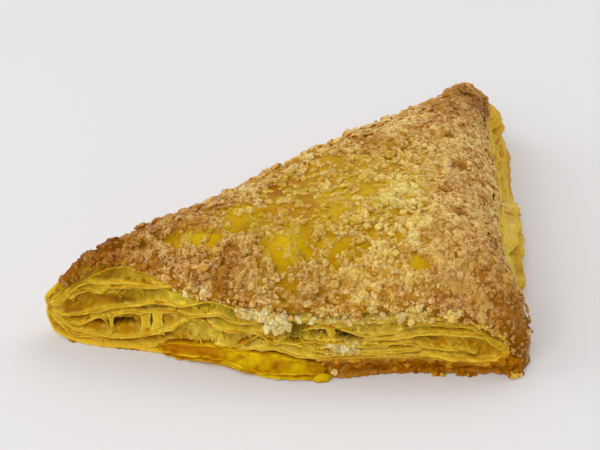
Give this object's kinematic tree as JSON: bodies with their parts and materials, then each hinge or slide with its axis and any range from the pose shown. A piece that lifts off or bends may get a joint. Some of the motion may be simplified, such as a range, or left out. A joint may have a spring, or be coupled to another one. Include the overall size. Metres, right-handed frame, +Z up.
{
  "type": "turnover pastry",
  "caption": "Triangular puff pastry turnover lying flat, folded along its long side, with layered cut edges and a sugared, browned top.",
  "frame": {"origin": "centre of the plan bounding box, on the flat underside", "axes": "+Z up from the underside; +X along the front cut edge from the sharp tip to the square corner; +Y along the right cut edge to the far corner"},
  "size_m": [0.1274, 0.1354, 0.0326],
  "materials": {
    "baked_pastry": null
  },
  "bodies": {
    "root": {"turnover": "baked_pastry"}
  },
  "joints": []
}
